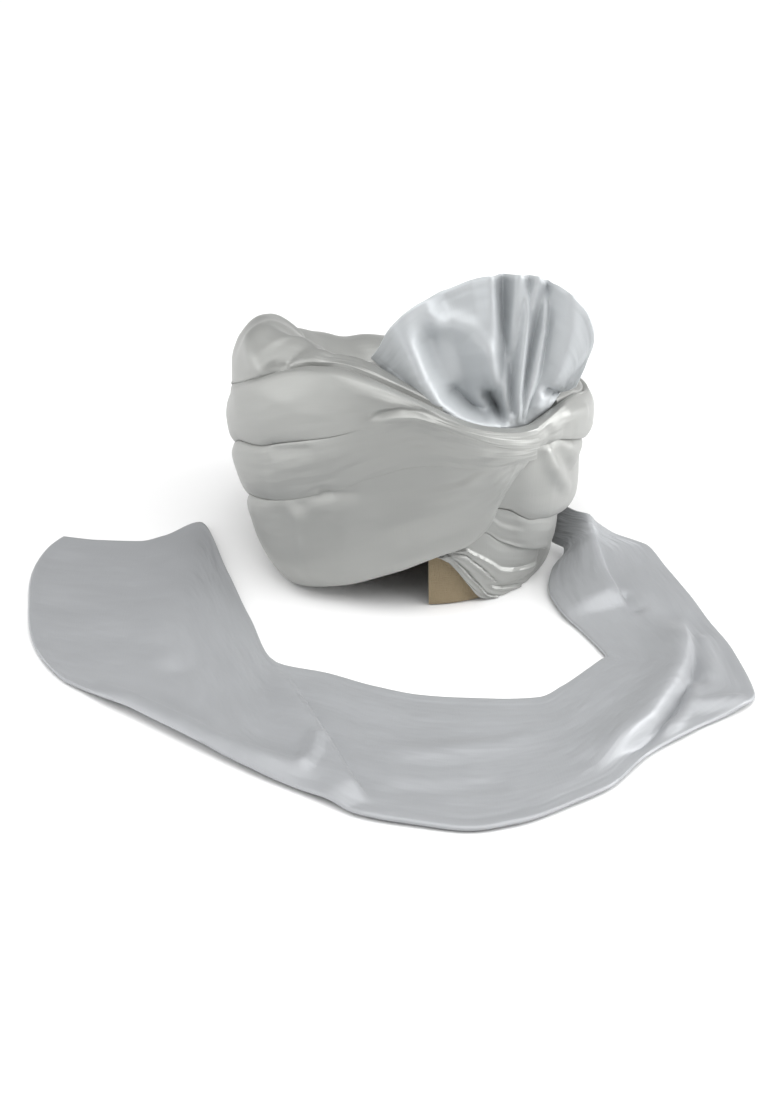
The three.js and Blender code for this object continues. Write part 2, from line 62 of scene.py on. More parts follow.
def sewn(name, rings, ends):
    """A closed body through rings of points, each ring closed on itself. ends is "hub" where the first and
    last rings are shut with a point in their middle, "flat" where each lies flat on itself and its two
    halves are joined, and "loop" where the last ring runs on into the first. The UV map is in metres."""
    rows, cols = rings.shape[:2]
    points = rings.reshape(-1, 3)
    along = np.linalg.norm(np.roll(rings, -1, axis=0) - rings, axis=2).mean(axis=1)
    around = np.linalg.norm(np.roll(rings, -1, axis=1) - rings, axis=2).mean(axis=0)
    along = np.concatenate([[0.0], np.cumsum(along)])
    around = np.concatenate([[0.0], np.cumsum(around)])
    i, j = np.meshgrid(np.arange(rows if ends == "loop" else rows - 1), np.arange(cols), indexing="ij")
    i, j = i.ravel(), j.ravel()
    up, side = (i + 1) % rows, (j + 1) % cols
    faces = np.stack([i * cols + j, up * cols + j, up * cols + side, i * cols + side], axis=1).tolist()
    marks = np.stack([
        np.stack([along[i], around[j]], 1), np.stack([along[i + 1], around[j]], 1),
        np.stack([along[i + 1], around[j + 1]], 1), np.stack([along[i], around[j + 1]], 1),
    ], axis=1).reshape(-1, 2).tolist()
    for row, flip in ((0, False), (rows - 1, True)):
        if ends == "loop":
            break
        if ends == "hub":
            hub = len(points)
            points = np.vstack([points, rings[row].mean(axis=0)])
            caps = [[hub, row * cols + k, row * cols + (k + 1) % cols] for k in range(cols)]
        else:
            half = cols // 2
            caps = [[row * cols + k, row * cols + k + 1, row * cols + cols - 2 - k, row * cols + cols - 1 - k]
                    for k in range(half - 1)]
        for cap in caps:
            faces.append(cap[::-1] if flip else cap)
            marks.extend([along[row], around[k % cols]] for k in cap)
    corners = np.array([points[f[:3]] for f in faces])
    second = np.array([points[[f[0], f[2], f[-1]]] for f in faces])
    volume = sum(np.einsum("ij,ij->", c[:, 0], np.cross(c[:, 1], c[:, 2])) for c in (corners, second))
    if volume < 0:
        start = 0
        turned = []
        for face in faces:
            turned.extend(marks[start:start + len(face)][::-1])
            start += len(face)
        marks = turned
        faces = [face[::-1] for face in faces]
    mesh = bpy.data.meshes.new(name)
    mesh.from_pydata(points.tolist(), [], faces)
    mesh.uv_layers.new(name="cloth").data.foreach_set("uv", np.array(marks).ravel())
    mesh.shade_smooth()
    mesh.set_sharp_from_angle(angle=np.radians(55))
    piece = bpy.data.objects.new(name, mesh)
    bpy.context.scene.collection.objects.link(piece)
    return piece


class Value:
    """A number or colour in a material. Arithmetic on it adds Math nodes, and node adds any other node."""

    def __init__(self, tree, socket=None):
        self.tree = tree
        self.socket = socket

    def node(self, kind, settings, inputs, output=0):
        made = self.tree.nodes.new(kind)
        for key, value in settings.items():
            if key == "stops":
                for stop, (place, tint) in zip(made.color_ramp.elements, value):
                    stop.position = place
                    stop.color = tint
            else:
                setattr(made, key, value)
        for key, value in inputs.items():
            if isinstance(value, Value):
                self.tree.links.new(value.socket, made.inputs[key])
            else:
                made.inputs[key].default_value = value
        return Value(self.tree, made.outputs[output])

    def maths(self, operation, first, second):
        return self.node("ShaderNodeMath", {"operation": operation}, {0: first, 1: second})

    def __add__(self, other):
        return self.maths("ADD", self, other)

    def __mul__(self, other):
        return self.maths("MULTIPLY", self, other)

    __radd__ = __add__
    __rmul__ = __mul__


def noise(start, cloth, scale, stretch, detail=3.0):
    """Noise on the cloth, with its own scale along and across the length."""
    spread = start.node("ShaderNodeMapping", {}, {"Vector": cloth, "Scale": (*stretch, 1.0)})
    return start.node("ShaderNodeTexNoise", {}, {"Vector": spread, "Scale": scale, "Detail": detail})


def finish(material, colour, roughness, height, depth, **constants):
    """Puts one Principled shader on a material, with a bump of that depth in metres."""
    tree = material.node_tree
    shader = tree.nodes.new("ShaderNodeBsdfPrincipled")
    for key, value in constants.items():
        shader.inputs[key.replace("_", " ")].default_value = value
    start = Value(tree)
    bump = start.node("ShaderNodeBump", {}, {"Height": height, "Strength": 1.0, "Distance": depth})
    tree.links.new(colour.socket, shader.inputs["Base Color"])
    tree.links.new(roughness.socket, shader.inputs["Roughness"])
    tree.links.new(bump.socket, shader.inputs["Normal"])
    out = tree.nodes.new("ShaderNodeOutputMaterial")
    tree.links.new(shader.outputs["BSDF"], out.inputs["Surface"])


def fabric(name):
    material = bpy.data.materials.new(name)
    material.use_nodes = True
    material.node_tree.nodes.clear()
    start = Value(material.node_tree)
    return material, start, start.node("ShaderNodeUVMap", {"uv_map": "cloth"}, {})


def blend(start, low, high, share):
    return start.node(
        "ShaderNodeMix", {"data_type": "RGBA"}, {0: share, 6: (*low, 1.0), 7: (*high, 1.0)}, output=2)


tan_cotton, start, cloth = fabric("tan_cotton")
warp = noise(start, cloth, 1.0, (260.0, 1500.0), 1.0)
weft = noise(start, cloth, 1.0, (1500.0, 260.0), 1.0)
stains = noise(start, cloth, 22.0, (1.0, 1.0), 4.0)
finish(tan_cotton, blend(start, (0.20, 0.15, 0.08), (0.33, 0.26, 0.16), stains * 0.6 + warp * 0.4),
       stains * 0.1 + 0.78, warp + weft, 0.0005, Sheen_Weight=0.2, Sheen_Roughness=0.6)

bearings = np.concatenate([
    np.linspace(NOTCH_TO, 360 + NOTCH_FROM, 153),
    np.linspace(360 + NOTCH_FROM + 0.4, 360 + NOTCH_TO - 0.4, 29),
])
rims = np.where(bearings > 360 + NOTCH_FROM + 0.2, NOTCH_HEIGHT, 0.0)


def cap_ring(t, inward, lift):
    """One ring of the cap: t is -1 at the rim, 0 where the dome begins and 1 at the top."""
    height = CAP_STRAIGHT + (CAP_DOME - inward) * np.sin(max(t, 0) * np.pi / 2)
    spread = np.cos(max(t, 0) * np.pi / 2)
    z = mix(CAP_STRAIGHT, rims + lift, -t) if t < 0 else np.full(bearings.shape, height)
    angle = np.radians(bearings)
    return placed((CAP_HALF_WIDTH - inward) * spread * np.sin(angle),
                  CAP_SHIFT - (CAP_HALF_DEPTH - inward) * spread * np.cos(angle), z)


outer = [cap_ring(t, 0.0, 0.5) for t in np.linspace(0.985, -1, 40)]
inner = [cap_ring(t, CAP_WALL, 0.5) for t in np.linspace(-1, 0.985, 40)]
rim = [cap_ring(-1, CAP_WALL * share, 0.15 * abs(2 * share - 1)) for share in (0.2, 0.5, 0.8)]
lining = sewn("lining_dome", np.array(outer + rim + inner), "hub")
lining.data.materials.append(tan_cotton)
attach(lining, "root")
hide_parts("lining_cap")

# Wound body
# Three bands of satin, each many turns of the cloth folded to a puffed strip, wound clockwise seen from
# above and pinched together at the front right. All take their form from these tables, in millimetres
# about the turban's own axis. A bearing is 0 at the front and 90 at the right, and a turn is counted
# clockwise from the waist, the bearing at which they are pinched.
WAIST = 40.0
MM_PER_DEGREE = 2.05
CAP_GAP = 0.7
BAND_ROWS = 64
FOOT_EDGE = 3.0
BODY = [
    (0, 0, 101, 113), (25, -4, 112, 118), (66, -8, 119, 121), (103, -9, 121, 121), (130, -10, 118, 119),
    (150, -12, 108, 110), (165, -14, 96, 98), (185, -14, 80, 80),
]  # height, middle, half width, half depth
SIDES = [
    (0, 5, 0), (35, 5, 2), (67, 6.5, 4), (87, 1, 4), (104, 2, 1), (120, 5, 3), (150, 5, 14),
]  # height, how much closer the right side is, how much further the left
WALL = [(0, 1), (45, 1), (80, 0.97), (110, 0.88), (140, 0.76), (170, 0.66)]  # height, inner scale
LINES = [
    (0, 91, 96.5, 105, 118, -4.3, -2.4), (4, 87, 97, 106.5, 118.5, -3.3, -1.8),
    (8, 81, 98.5, 109, 119.5, -2.2, -1.2), (11, 74, 99, 111, 121, -1.4, -0.8),
    (17, 56, 100, 115.5, 124.5, -0.3, -0.2),
    (25, 45, 103, 123, 131, 0, 0), (33, 40, 106, 130, 139, 0, 0), (40, 34.5, 105, 134, 145, 0, 0),
    (54, 24, 95, 128, 153.5, 0, 0), (65, 15, 83, 119.5, 156.5, 0, 1), (76, 9, 73, 111.5, 155, 0, 1),
    (85, 4, 65, 104, 150, 0, 1), (94, 0, 57.5, 95.5, 142, 0, 0), (111, 0, 46, 85, 125, 0, 0),
    (130, 0, 28, 67, 110, 0, 0),
    (165, 0, 24, 58, 98, 1, 0), (220, 0, 26, 58, 94, 1, 2), (270, 0, 30, 62, 96, 0, 0),
    (310, 0, 31, 76, 106, -14, -2), (323, 0, 34.5, 82, 113.5, -15, -2), (333, 0, 37.5, 89, 120, -15, -2),
    (343, 0, 42, 97, 123, -15, -2), (350, 0, 45.5, 102.5, 122, -15, -2), (360, 0, 51, 105, 118, -15, -3),
]  # turn, foot, lower seam, upper seam, top, how far out the lower and the middle band are
GROOVE = [
    (0, 0.02), (54, 0.03), (66, 0.2), (80, 0.7), (98, 1.7), (130, 3.2), (300, 3.6), (330, 2.6), (360, 0.8),
]  # turn, depth of the groove along a seam
CREASES = [
    (2.6, 8, 10, [(-38.5, 68), (-38, 40), (-38, 8)]),
    (-2.2, 10, 11, [(-26, 68), (-26.5, 44), (-26, 14)]),
    (-2.4, 13, 15, [(30, 84), (17, 64), (4, 50), (-8, 42)]),
    (1.8, 11, 12, [(30, 97), (14, 82), (-2, 71), (-18, 64)]),
    (-0.8, 4, 5, [(1, 76), (10, 79), (19, 85), (26, 92)]),
    (0.7, 4, 5, [(-10, 84), (2, 86), (12, 90), (20, 95)]),
    (-0.7, 3, 4, [(10, 92), (16, 98), (22, 104), (28, 110)]),
    (0.5, 4, 4, [(4, 104), (14, 108), (24, 113)]),
    (-2.4, 1.9, 1.9, [(-13.5, 134.5), (-8, 138.6), (-3, 140.6), (2.5, 139.6), (7, 137)]),
    (1.3, 1.8, 3, [(-10.5, 134.5), (-5, 136.4), (1, 136.8), (8, 133.5)]),
    (2.4, 5, 8, [(-42, 152), (-27, 155), (-14, 149), (0, 141), (14, 130), (28, 119)]),
    (1.3, 13, 14, [(2, 128), (10, 123), (19, 116), (29, 106), (35, 97)]),
    (-1.1, 3, 5, [(-50, 96), (-40, 104), (-30, 110)]),
    (-1.6, 3, 4, [(-36, 72), (-29, 78.5), (-23, 83), (-16, 86)]),
    (-1.5, 4, 4, [(-31, 78), (-28, 79.7), (-25, 81)]),
    (-0.9, 5, 6, [(72, 84), (86, 74), (100, 68)]),
    (0.8, 6, 6, [(84, 98), (104, 88), (126, 84)]),
    (-0.8, 5, 7, [(120, 44), (140, 40), (158, 43)]),
    (0.9, 7, 7, [(136, 74), (154, 70), (174, 73)]),
    (-0.7, 5, 6, [(98, 22), (116, 15), (136, 13)]),
    (-0.9, 6, 7, [(-176, 44), (-158, 39), (-140, 43)]),
    (0.8, 7, 7, [(-172, 82), (-152, 79), (-132, 84)]),
    (-0.8, 5, 6, [(-150, 15), (-130, 11), (-110, 14)]),
    (0.8, 6, 6, [(-120, 54), (-100, 56), (-80, 62)]),
    (-0.9, 5, 6, [(-104, 97), (-86, 106), (-70, 116)]),
    (0.7, 6, 6, [(-92, 30), (-76, 34), (-62, 42)]),
]  # height, widths left and right of the line, then the line's points as bearing and height


def column(rows, x, index):
    """A smooth curve through one column of a table, which never overshoots its rows."""
    knots, values = (np.array([row[k] for row in rows], float) for k in (0, index))
    span = np.diff(knots)
    slope = np.diff(values) / span
    before, after = slope[:-1], slope[1:]
    w1, w2 = 2 * span[1:] + span[:-1], span[1:] + 2 * span[:-1]
    flat = before * after <= 0
    inner = np.where(flat, 0, (w1 + w2) / (w1 / np.where(flat, 1, before) + w2 / np.where(flat, 1, after)))
    tangent = np.concatenate([slope[:1], inner, slope[-1:]])
    at = np.clip(x, knots[0], knots[-1])
    i = np.clip(np.searchsorted(knots, at, side="right") - 1, 0, len(span) - 1)
    t = (at - knots[i]) / span[i]
    return ((1 + 2 * t) * (1 - t) ** 2 * values[i] + t * (1 - t) ** 2 * span[i] * tangent[i]
            + t * t * (3 - 2 * t) * values[i + 1] + t * t * (t - 1) * span[i] * tangent[i + 1])


def outside(bearing, z, out):
    """x, y and z of the body's outer form; out moves it off that form."""
    angle = np.radians(bearing)
    turned = bearing - 360 * np.round(bearing / 360)
    flare = 13 * np.exp(-((turned + 52) / 24) ** 2) * (1 - smooth(z / 60))
    near = column(SIDES, z, 1) * np.exp(-((turned - 92) / 38) ** 2)
    far = column(SIDES, z, 2) * np.exp(-((turned + 100) / 35) ** 2)
    off = out + flare + far - near
    return (column(BODY, z, 1) + (column(BODY, z, 2) + off) * np.sin(angle),
            -(column(BODY, z, 3) + off) * np.cos(angle), z + 0 * off)


def inside(bearing, z, out):
    """The outline of the lining cap at that height, moved out."""
    angle = np.radians(bearing)
    scale = column(WALL, z, 1)
    return ((CAP_HALF_WIDTH * scale + out) * np.sin(angle),
            CAP_SHIFT - (CAP_HALF_DEPTH * scale + out) * np.cos(angle), z + 0 * scale)


def distance(x, z, line):
    """How far points are from a line, on which side of it, and how far along it, from 0 to 1."""
    nearest = np.full(np.broadcast(x, z).shape, 1e9)
    side, along = np.zeros(nearest.shape), np.zeros(nearest.shape)
    for k, ((x0, z0), (x1, z1)) in enumerate(zip(line, line[1:])):
        run, rise = x1 - x0, z1 - z0
        t = np.clip(((x - x0) * run + (z - z0) * rise) / (run * run + rise * rise), 0, 1)
        dx, dz = x - x0 - t * run, z - z0 - t * rise
        far = np.hypot(dx, dz)
        near = far < nearest
        nearest = np.where(near, far, nearest)
        side = np.where(near, run * dz - rise * dx, side)
        along = np.where(near, (k + t) / (len(line) - 1), along)
    return nearest, side, along


def relief(bearing, z, strokes):
    """Creases and ridges: (height, width left of its line, width right of it, its points as bearing, z)."""
    total = np.zeros(np.broadcast(bearing, z).shape)
    x = (bearing - 360 * np.round(bearing / 360)) * MM_PER_DEGREE
    for height, left, right, line in strokes:
        nearest, side, along = distance(x, z, [(b * MM_PER_DEGREE, h) for b, h in line])
        width = np.where(side > 0, left, right)
        ends = smooth(along * 4 + 0.15) * smooth((1 - along) * 4 + 0.15)
        total += height * np.exp(-(nearest / width) ** 2) * ends
    return total


def ripple(u, v, size, seed):
    """Soft unevenness of hand-wound cloth, within about one millimetre, by sums of slanted waves."""
    total = 0
    for k in range(1, 7):
        angle = seed + 2.4 * k
        wave = 2 * np.pi / (size * (0.6 + 0.23 * k))
        slanted = u * np.cos(angle) * 0.45 + v * np.sin(angle)
        total = total + np.sin(wave * slanted + 1.7 * k * seed) / k ** 0.5
    return total / 3


def edge_round(distance, depth, width):
    """How far a puffed edge falls back, at a distance from its seam."""
    return -depth * (1 - np.sqrt(np.clip(1 - (1 - np.clip(distance / width, 0, 1)) ** 2, 0, 1)))


def band(turn, low, high, climb_low, climb_high, out, thin, strokes, seed, rolled=2.5):
    """Sections of a wound band between two seams: x, y, z of its outside, and the three of its inside."""
    s = (1 - np.cos(np.linspace(0, np.pi, BAND_ROWS))) / 2 * 0.6 + np.linspace(0, 1, BAND_ROWS) * 0.4
    bearing = (WAIST - turn)[:, None]
    low, high, climb_low, climb_high, out, thin = (
        np.broadcast_to(a, turn.shape)[:, None] for a in (low, high, climb_low, climb_high, out, thin))
    raised = low > 0.5
    bottom = low + np.where(raised, 0.01, 0.0)
    top = high - 0.01
    z = mix(bottom, top, s[None, :])
    tall = smooth((top - bottom) / 40)
    groove = column(GROOVE, turn, 1)[:, None]
    rolled = np.broadcast_to(rolled, turn.shape)[:, None]
    on_a_seam = raised & (column(LINES, turn, 1)[:, None] < low - 1)
    foot = np.where(on_a_seam, groove, np.where(raised, rolled, FOOT_EDGE))
    off = out + edge_round(z - bottom, foot, 2.2 * foot + 3 * tall)
    off = off + edge_round(top - z, groove, 2.4 * groove + 2)
    bulge = 1.6 * smooth((turn[:, None] - 56) / 45) * tall
    off = off - bulge * np.abs(2 * s[None, :] - 1) ** 2.2
    off = off + relief(bearing + 0 * z, z, CREASES + strokes)
    off = off + 0.35 * ripple(turn[:, None] * MM_PER_DEGREE + 0 * z, z, 30.0, 0.7)
    pinched = np.exp(-np.abs(turn[:, None] - 8) / 20) * smooth(turn[:, None] / 6)
    place = s[None, :] * tall * 2.2 + seed
    off = off + pinched * (0.28 * np.sin(place * 9.0) + 0.2 * np.sin(place * 16.0 + turn[:, None] / 9))
    x, y, z = outside(bearing + 0 * z, z, off)
    lx, ly, _ = inside(bearing + 0 * z, z, 4.2)
    deep = np.hypot(x, y) < np.hypot(lx, ly)
    x, y = np.where(deep, lx, x), np.where(deep, ly, y)
    shift = np.zeros(z.shape)
    for end, seam, climb in ((0, low, climb_low), (-1, high, climb_high)):
        form = outside(bearing, seam, 0.0)
        wall = inside(bearing, seam + climb, CAP_GAP)
        depth = np.hypot(form[0], form[1]) - np.hypot(x[:, end], y[:, end])[:, None]
        full = np.hypot(form[0], form[1]) - np.hypot(wall[0], wall[1])
        shift += climb * depth / full * (1 - np.abs(s[None, :] - s[end])) ** 2
    z = z + shift
    inner_top = high + climb_high - 0.5
    inner_bottom = low + climb_low + np.where(raised, 0.5, 0.0)
    backs = []
    middle = (inner_top + inner_bottom) / 2
    for height, k in ((inner_top, BAND_ROWS - 1), (middle, BAND_ROWS // 2), (inner_bottom, 0)):
        wall = inside(bearing, height, CAP_GAP)
        cx, cy, cz = x[:, k:k + 1], y[:, k:k + 1], z[:, k:k + 1]
        shrink = 1 - 2.2 / np.hypot(cx, cy)
        cover = (cx * shrink, cy * shrink, cz)
        backs.append([mix(a, b, thin) for a, b in zip(wall, cover)])
    back = [np.concatenate([b[k] for b in backs], axis=1) for k in range(3)]
    return (x, y, z), back


def satin(name, tint, roughness, metallic, seed):
    """White satin: a close smooth weave with long floats, so its sheen is soft and slightly metallic."""
    material, start, cloth = fabric(name)
    slub = noise(start, cloth, 1.0, (26.0 + seed, 380.0), 2.0)
    cross = noise(start, cloth, 1.0, (1100.0, 90.0), 1.0)
    crumple = noise(start, cloth, 1.0, (14.0 + seed, 62.0), 2.0)
    cloud = noise(start, cloth, 16.0 + seed, (1.0, 2.2), 3.0)
    shade = tuple(0.88 * c for c in tint)
    finish(material, blend(start, shade, tint, cloud * 0.75 + slub * 0.25), cloud * 0.12 + (roughness - 0.06),
           crumple * 0.8 + slub * 0.04 + cross * 0.02, 0.0021,
           Metallic=metallic, Sheen_Weight=0.12, Sheen_Roughness=0.4)
    return material


white_satin = satin("white_satin", (0.395, 0.4, 0.386), 0.46, 0.48, 0.0)

# Lower wrap
# The lowest band runs from the pinch over the front left, round the back, and back under the fold at the
# right, where its end is pleated and tucked up inside the front panel.
FOLD = [
    (20, 50, 62, -9), (24, 47, 68, -9), (29, 39, 68, -8.5), (33, 35, 63, -7.5), (36.5, 32, 55, -6),
    (44, 26, 49, -5), (50, 22, 46, -5), (54, 17.5, 44, -6), (60, 21, 42, -8), (65, 27, 40, -11),
]  # bearing, low, high, out
MIDDLE_END = [
    (350, 45.5, 102.5, -1.8), (355, 48.5, 103.4, -2.4), (360, 51, 104.8, -3.3), (363, 54.5, 102, -4.1),
    (368.5, 61, 95, -6.5), (375, 64, 92, -8),
]  # turn, low, high, out
LOWER_END = [
    (320, 0, 33.7, -15), (328, 0, 36, -15), (334, 0, 27, -15), (340, 0, 21, -14), (346, 0, 17.5, -12),
    (351, 0, 22, -9.5), (363.5, 0, 32, -8), (371, 0, 39, -8), (376, 2, 47, -8.5), (383, 12.5, 50, -9),
    (390, 26, 50, -9), (395, 34, 49, -9), (400, 40, 47, -9),
]  # turn, low, high, out
PLEATS = [
    (10, 36, 38, 40, 42), (16, 17, 25, 37, 42), (17.5, 14.5, 22, 33.8, 40), (22, 7, 13, 25, 34),
    (26, 2, 4.7, 16, 28), (29, 0, 2, 9.5, 23), (42, -8, -5, 2.3, 15.5), (49, -12, -10, -2, 12.6),
    (60, -16, -14, -8, 6),
]  # bearing, then the heights of the four lines between which the three laps lie, lowest first


def seam_climb(z):
    return 5 * smooth(z / 20)


def middle_row(turn):
    ends = [column(MIDDLE_END, turn, k) for k in (1, 2, 3)]
    runs = [column(LINES, turn, k) for k in (2, 3, 6)]
    return [np.where(turn > 350, a, b) for a, b in zip(ends, runs)]


def fold_row(bearing):
    low, high, out = (column(FOLD, bearing, k) for k in (1, 2, 3))
    return low, np.minimum(high, middle_row(WAIST - bearing + 360)[0]), out


def lower_row(turn):
    bearing = WAIST - turn + 360
    under = (bearing >= FOLD[0][0]) & (bearing <= FOLD[-1][0])
    low, high, out = (column(LOWER_END, turn, k) for k in (1, 2, 3))
    high = np.minimum(high, np.where(under, fold_row(bearing)[0] - 0.1, high))
    high = np.where(turn <= 350, np.minimum(high, column(LINES, turn, 2)), high)
    early = [column(LINES, turn, k) for k in (1, 2, 5)]
    return [np.where(turn <= 320, a, b) for a, b in zip(early, (low, high, out))]


turn = np.linspace(0, 400, 401)
low, high, out = lower_row(turn)
skin, back = band(turn, low, high, np.where(low > 0.5, seam_climb(low), 0), seam_climb(high), out,
                  1 - smooth((turn - 44) / 12), [], 0.7, 2.5 + 4 * (1 - smooth((turn - 6) / 12)))
x, y, z = skin
bearing = WAIST - turn + 360
pleated = smooth((turn - 346) / 8)
lines = [column(PLEATS, bearing, k)[:, None] for k in (1, 2, 3, 4)]
place = sum(np.clip((z - a) / np.maximum(b - a, 0.5), 0, 1) for a, b in zip(lines, lines[1:]))
lap = place - np.floor(np.minimum(place, 2.999))
rise = 2.2 * np.sqrt(lap + 0.02) * (1 - smooth((lap - 0.86) / 0.14)) + 0.4 * np.sin(3 * np.pi * lap)
rise = rise * pleated[:, None]
ray = np.hypot(x, y)
x, y = x * (1 + rise / ray), y * (1 + rise / ray)
rings = placed(*(np.concatenate(pair, axis=1) for pair in zip((x, y, z), back)))
lower = sewn("lower_wrap", rings, "hub")
lower.data.materials.append(white_satin)
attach(lower, "root")
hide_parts("wrap_lower")

# Middle wrap
# The second band. At the right it comes round from the back as a puff below the pinch, and its end goes
# in under the front panel.
MIDDLE_CLIMB = [
    (0, 2), (15, -3), (25, -8), (40, -10), (54, -8), (65, -2), (80, 4), (110, 5), (340, 5), (360, 2),
]  # turn, climb of the upper seam towards the cap
MIDDLE_CREASES = [
    (2.6, 4, 6, [(43, 103), (45, 98), (46.6, 90), (50, 80), (56, 68), (65, 55)]),
    (-1.6, 4, 4, [(50, 97), (54, 85), (60, 74), (66, 65)]),
    (1.2, 5, 5, [(57, 94), (62, 82), (68, 72)]),
]
turn = np.linspace(0, 375, 376)
low, high, out = middle_row(turn)
climb = column(MIDDLE_CLIMB, np.minimum(turn, 360), 1)
skin, back = band(turn, low, high, seam_climb(low), climb, out, 0.0, MIDDLE_CREASES, 1.9, 1.6)
rings = placed(*(np.concatenate(pair, axis=1) for pair in zip(skin, back)))
middle = sewn("middle_wrap", rings, "hub")
middle.data.materials.append(white_satin)
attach(middle, "root")
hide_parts("wrap_middle")

# Upper wrap
# The top band is a closed ring. Its upper edge is turned in as a lip, with a seat behind it that holds
# the roll, the crown and the fan's foot, and at the right it is a small puff above the pinch.
RIM = [
    (0, 5, 7, 2), (15, 6, 8, -3), (25, 6, 8, -8), (40, 6, 9, -10), (54, 6, 12, -8), (65, 6, 12, -2),
    (80, 4, 9, 4), (110, 2.5, 5, 5), (340, 2.5, 6, 5), (360, 5, 7, 2),
]  # turn, thickness of the lip, depth of its seat, climb of the seam below
UPPER_CREASES = [
    (-1.2, 4, 4, [(43, 117), (45, 110), (44, 102)]),
    (1.4, 5, 6, [(52, 118), (62, 113), (72, 106)]),
    (-1.0, 5, 5, [(50, 108), (60, 101)]),
]


def lip(turn):
    top = column(LINES, turn, 4)
    return top, -4 - column(RIM, turn, 1), top - column(RIM, turn, 2)


turn = np.linspace(0, 360, 361)[:-1]
top, edge, seat = lip(turn)
skin, back = band(turn, column(LINES, turn, 3), top + 0.06, column(RIM, turn, 3), 0.0, 0.0, 0.0,
                  UPPER_CREASES, 3.1)
bearing = (WAIST - turn)[:, None]
over = np.linspace(0, 1, 9)[None, 1:]
lip_out = edge[:, None] * (1 - np.cos(over * np.pi)) / 2 - 3.0 * (1 - over)
lip_z = top[:, None] - 2 * over + 1.2 * np.sin(over * np.pi)
turned_in = outside(bearing + 0 * over, lip_z, lip_out)
behind = outside(bearing, seat[:, None], edge[:, None] - 1)
shelf = inside(bearing, seat[:, None] - 2, CAP_GAP)
rings = placed(*(np.concatenate([a[:, :-2], b, c, d, e[:, 2:]], axis=1)
                 for a, b, c, d, e in zip(skin, turned_in, behind, shelf, back)))
upper = sewn("upper_wrap", rings, "loop")
upper.data.materials.append(white_satin)
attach(upper, "root")
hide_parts("wrap_upper")

# Right fold
# A smooth fold of the lower cloth, which shows at the right between the middle wrap's end and the pleats.
bearing = np.linspace(FOLD[0][0], FOLD[-1][0], 91)
low, high, out = fold_row(bearing)
skin, back = band(WAIST - bearing, low, high, seam_climb(low), seam_climb(high), out, 0.0, [], 4.4, 0.5)
rings = placed(*(np.concatenate(pair, axis=1) for pair in zip(skin, back)))
fold = sewn("right_fold_cloth", rings, "hub")
fold.data.materials.append(white_satin)
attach(fold, "root")
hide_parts("right_fold")

# Top roll
# A puffed roll of the same satin along the top, laid in behind the upper wrap's lip. It is highest at the
# left and thins out at both ends, at the fan and at the front left.
ROLL = [
    (30, 139, 2), (36, 144, 4), (44, 149, 7), (51, 152, 9), (58, 155, 10), (66, 157, 10), (80, 161, 13),
    (95, 163, 20), (115, 162, 24), (135, 155, 25), (160, 130, 25),
    (190, 110, 23), (225, 99, 22), (270, 100, 22), (310, 112, 20), (330, 119, 15), (345, 122, 11),
]  # turn, summit, half width
ROLL_FACETS = [
    (4.0, 9, 10, [(-76, 164), (-66, 157), (-58, 149), (-52, 141)]),
    (-3.0, 13, 13, [(-56, 168), (-49, 161), (-45, 153)]),
    (-2.6, 3, 3, [(-54, 150), (-50, 148.5), (-46, 149)]),
    (3.0, 5, 9, [(-52, 172), (-44, 167), (-37, 163), (-29, 160)]),
    (-2.5, 8, 8, [(-100, 160), (-96, 150), (-92, 140)]),
    (-2.5, 8, 8, [(-128, 150), (-122, 140), (-118, 130)]),
]
ROLL_TURN = 1.85
turn = np.linspace(ROLL[0][0], ROLL[-1][0], 288)
bearing = (WAIST - turn)[:, None]
top, edge, seat = (a[:, None] for a in lip(turn))
half = column(ROLL, turn, 2)[:, None]
summit = np.maximum(column(ROLL, turn, 1)[:, None], top + 3)
shoulder = top + 1
overhang = edge + 3 * smooth((summit - top) / 20) - 0.3
t = np.linspace(0, ROLL_TURN, 61)[None, :]
reach = np.where(t < 1, summit - shoulder, np.minimum(summit - seat - 3, 26))
z = summit - reach * (1 - np.sin(t * np.pi / 2))
level = np.minimum(z, np.maximum(shoulder, 130))
gather = (np.sin(turn / 5.3) + 0.6 * np.sin(turn / 2.9 + 1) + 0.5 * np.sin(turn / 9.1 + 2.2))[:, None]
fold_in = 0.8 * gather * smooth(t / 0.5) * smooth((ROLL_TURN - t) / 0.5) * smooth(half / 15)
facets = relief(bearing + 0 * t, z, ROLL_FACETS)
past = np.maximum(t - 1, 0) * np.pi / 2
inward = 1 - np.cos(np.minimum(t, 1) * np.pi / 2) + 0.62 * (1 - np.cos(past) + np.sin(past))
x, y, _ = outside(bearing + 0 * t, level, overhang - half * inward + 0.7 * fold_in + facets)
z = z + fold_in
lift = 0.4
heel = outside(bearing, seat, edge - 1.3)
heel = (heel[0], heel[1], heel[2] + lift)
side = outside(bearing, top - 2, edge - 0.3)
toe = inside(bearing, seat - 2, 1.5)
toe = tuple(mix(a, b, 0.1) + c for a, b, c in zip(toe, heel, (0, 0, lift)))
u = np.array([[0.2, 0.4, 0.6, 0.8]])
under = []
for a, b in zip((x, y, z), toe):
    aim = a[:, -1:] + 5 * (a[:, -1:] - a[:, -2:-1])
    under.append((1 - u) ** 2 * a[:, -1:] + 2 * u * (1 - u) * aim + u ** 2 * b)
rings = placed(*(np.concatenate(row, axis=1) for row in zip(heel, side, (x, y, z), under, toe)))
roll = sewn("top_roll_cloth", rings, "hub")
roll.data.materials.append(white_satin)
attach(roll, "root")
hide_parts("top_roll")

# Crown
# The bunched cloth over the head inside the roll, gathered to its middle in small swirled pleats.
CROWN_HEIGHT = 115.0
bearings = np.linspace(0, 360, 241)[:-1]
turn = (WAIST - bearings + 360) % 360
rim_z = lip(turn)[2] - 2.5
reach = column(WALL, rim_z, 1) * 1.03


